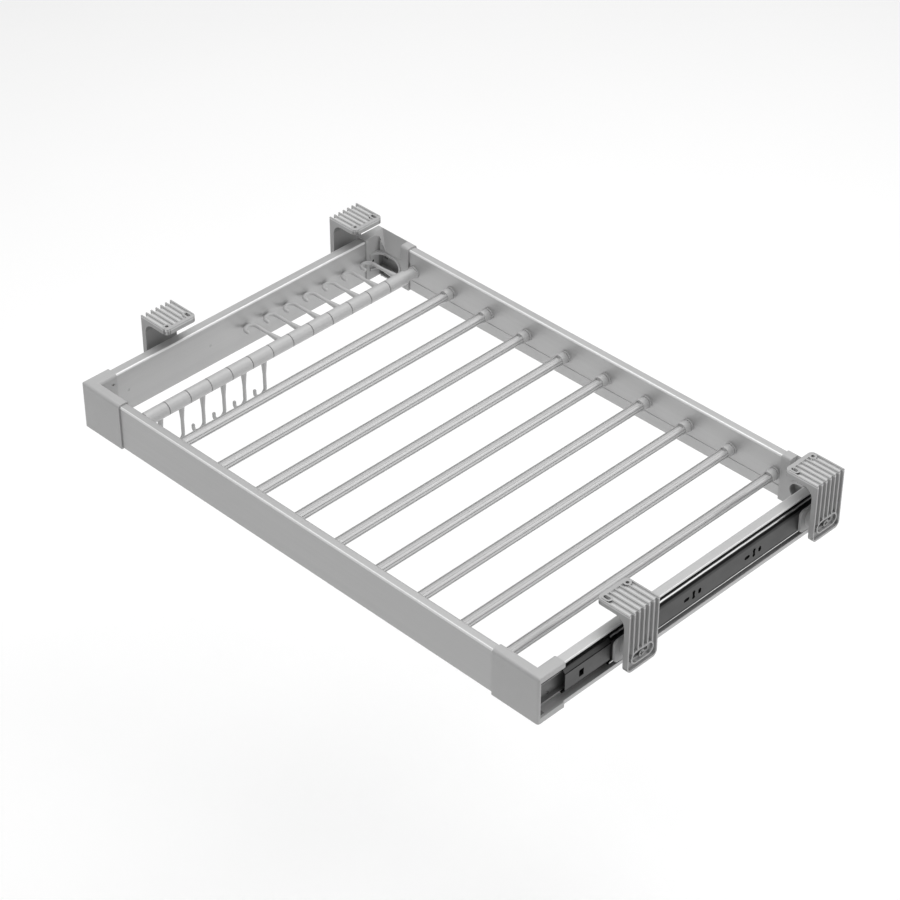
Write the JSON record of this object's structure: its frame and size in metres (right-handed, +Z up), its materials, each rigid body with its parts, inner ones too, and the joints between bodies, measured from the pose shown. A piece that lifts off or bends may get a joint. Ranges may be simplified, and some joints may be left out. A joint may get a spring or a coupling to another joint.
{
  "type": "pull-out trouser rack",
  "caption": "Pull-out trouser rack for a wardrobe: a metal frame with cross bars and a rod of folding hooks, on side-mounted ball-bearing slides hung from ribbed brackets.",
  "frame": {"origin": "midway between the four brackets, level with their top faces, which meet the underside of the shelf above", "axes": "+X to the rack's right side, -Y towards the person who pulls it out, +Z up"},
  "size_m": [0.764, 0.4736, 0.1187],
  "materials": {
    "rail_aluminium": "satin anodised, silver grey",
    "bar_aluminium": "satin anodised, drawn lengthwise",
    "grip_strip": "soft, slightly translucent grey",
    "corner_plastic": "fine satin grain, light grey",
    "bracket_plastic": "fine satin grain, light grey",
    "hook_plastic": "smooth satin, light grey",
    "socket_plastic": "smooth satin, light grey",
    "spacer_plastic": "smooth satin, light grey",
    "rod_steel": "ground, bright",
    "slide_dark_steel": "rolled, dark zinc finish",
    "slide_mid_steel": "rolled, dark zinc finish",
    "slide_inner_steel": "rolled, dark zinc finish",
    "cage_plastic": "smooth, black",
    "screw_steel": "zinc plated"
  },
  "bodies": {
    "side_fixings": {"right_front_bracket": "bracket_plastic", "right_back_bracket": "bracket_plastic", "left_front_bracket": "bracket_plastic", "left_back_bracket": "bracket_plastic", "right_front_spacer": "spacer_plastic", "right_back_spacer": "spacer_plastic", "left_front_spacer": "spacer_plastic", "left_back_spacer": "spacer_plastic", "bracket_screws": "screw_steel", "right_outer_member": "slide_dark_steel", "left_outer_member": "slide_dark_steel"},
    "rack_frame": {"front_rail": "rail_aluminium", "back_rail": "rail_aluminium", "left_side_rail": "rail_aluminium", "right_side_rail": "rail_aluminium", "front_left_corner": "corner_plastic", "front_right_corner": "corner_plastic", "back_left_corner": "corner_plastic", "back_right_corner": "corner_plastic", "corner_screws": "screw_steel", "trouser_bar_1": "bar_aluminium", "trouser_bar_2": "bar_aluminium", "trouser_bar_3": "bar_aluminium", "trouser_bar_4": "bar_aluminium", "trouser_bar_5": "bar_aluminium", "trouser_bar_6": "bar_aluminium", "trouser_bar_7": "bar_aluminium", "trouser_bar_8": "bar_aluminium", "trouser_bar_9": "bar_aluminium", "bar_grip_strips": "grip_strip", "front_bar_sockets": "socket_plastic", "back_bar_sockets": "socket_plastic", "hook_rod": "rod_steel", "hook_rod_collars": "socket_plastic", "right_inner_member": "slide_inner_steel", "left_inner_member": "slide_inner_steel", "slide_screws": "screw_steel"},
    "right_slide_middle": {"right_middle_member": "slide_mid_steel"},
    "left_slide_middle": {"left_middle_member": "slide_mid_steel"},
    "right_cage": {"right_ball_cage": "cage_plastic"},
    "left_cage": {"left_ball_cage": "cage_plastic"},
    "folding_hook_01": {"hook_01": "hook_plastic"},
    "folding_hook_02": {"hook_02": "hook_plastic"},
    "folding_hook_03": {"hook_03": "hook_plastic"},
    "folding_hook_04": {"hook_04": "hook_plastic"},
    "folding_hook_05": {"hook_05": "hook_plastic"},
    "folding_hook_06": {"hook_06": "hook_plastic"},
    "folding_hook_07": {"hook_07": "hook_plastic"},
    "folding_hook_08": {"hook_08": "hook_plastic"},
    "folding_hook_09": {"hook_09": "hook_plastic"},
    "folding_hook_10": {"hook_10": "hook_plastic"},
    "folding_hook_11": {"hook_11": "hook_plastic"},
    "folding_hook_12": {"hook_12": "hook_plastic"},
    "folding_hook_13": {"hook_13": "hook_plastic"}
  },
  "joints": [
    {"name": "rack_pull_out", "type": "slide", "parent": "side_fixings", "child": "rack_frame", "axis": [0, -1, 0], "range_m": [-0.1, 0.25]},
    {"name": "right_middle_follow", "type": "slide", "parent": "side_fixings", "child": "right_slide_middle", "axis": [0, -1, 0], "range_m": [-0.064, 0.16]},
    {"name": "right_cage_follow", "type": "slide", "parent": "side_fixings", "child": "right_cage", "axis": [0, -1, 0], "range_m": [-0.032, 0.08]},
    {"name": "left_middle_follow", "type": "slide", "parent": "side_fixings", "child": "left_slide_middle", "axis": [0, -1, 0], "range_m": [-0.064, 0.16]},
    {"name": "left_cage_follow", "type": "slide", "parent": "side_fixings", "child": "left_cage", "axis": [0, -1, 0], "range_m": [-0.032, 0.08]},
    {"name": "hook_01_fold", "type": "hinge", "parent": "rack_frame", "child": "folding_hook_01", "pos_m": [-0.28637, -0.2379, -0.0601], "axis": [0, 1, 0], "range_deg": [0, 90]},
    {"name": "hook_02_fold", "type": "hinge", "parent": "rack_frame", "child": "folding_hook_02", "pos_m": [-0.28637, -0.2059, -0.0601], "axis": [0, 1, 0], "range_deg": [0, 90]},
    {"name": "hook_03_fold", "type": "hinge", "parent": "rack_frame", "child": "folding_hook_03", "pos_m": [-0.28637, -0.1739, -0.0601], "axis": [0, 1, 0], "range_deg": [0, 90]},
    {"name": "hook_04_fold", "type": "hinge", "parent": "rack_frame", "child": "folding_hook_04", "pos_m": [-0.28637, -0.1419, -0.0601], "axis": [0, 1, 0], "range_deg": [0, 90]},
    {"name": "hook_05_fold", "type": "hinge", "parent": "rack_frame", "child": "folding_hook_05", "pos_m": [-0.28637, -0.1099, -0.0601], "axis": [0, 1, 0], "range_deg": [0, 90]},
    {"name": "hook_06_fold", "type": "hinge", "parent": "rack_frame", "child": "folding_hook_06", "pos_m": [-0.28637, -0.0779, -0.0601], "axis": [0, 1, 0], "range_deg": [0, 90]},
    {"name": "hook_07_fold", "type": "hinge", "parent": "rack_frame", "child": "folding_hook_07", "pos_m": [-0.28637, -0.0459, -0.0601], "axis": [0, 1, 0], "range_deg": [-90, 0]},
    {"name": "hook_08_fold", "type": "hinge", "parent": "rack_frame", "child": "folding_hook_08", "pos_m": [-0.28637, -0.0139, -0.0601], "axis": [0, 1, 0], "range_deg": [-90, 0]},
    {"name": "hook_09_fold", "type": "hinge", "parent": "rack_frame", "child": "folding_hook_09", "pos_m": [-0.28637, 0.0181, -0.0601], "axis": [0, 1, 0], "range_deg": [-90, 0]},
    {"name": "hook_10_fold", "type": "hinge", "parent": "rack_frame", "child": "folding_hook_10", "pos_m": [-0.28637, 0.0501, -0.0601], "axis": [0, 1, 0], "range_deg": [-90, 0]},
    {"name": "hook_11_fold", "type": "hinge", "parent": "rack_frame", "child": "folding_hook_11", "pos_m": [-0.28637, 0.0821, -0.0601], "axis": [0, 1, 0], "range_deg": [-90, 0]},
    {"name": "hook_12_fold", "type": "hinge", "parent": "rack_frame", "child": "folding_hook_12", "pos_m": [-0.28637, 0.1141, -0.0601], "axis": [0, 1, 0], "range_deg": [-90, 0]},
    {"name": "hook_13_fold", "type": "hinge", "parent": "rack_frame", "child": "folding_hook_13", "pos_m": [-0.28637, 0.1461, -0.0601], "axis": [0, 1, 0], "range_deg": [-90, 0]}
  ],
  "couplings": [
    {"joint": "right_middle_follow", "follows": "rack_pull_out", "ratio": 0.64},
    {"joint": "right_cage_follow", "follows": "rack_pull_out", "ratio": 0.32},
    {"joint": "left_middle_follow", "follows": "rack_pull_out", "ratio": 0.64},
    {"joint": "left_cage_follow", "follows": "rack_pull_out", "ratio": 0.32}
  ]
}
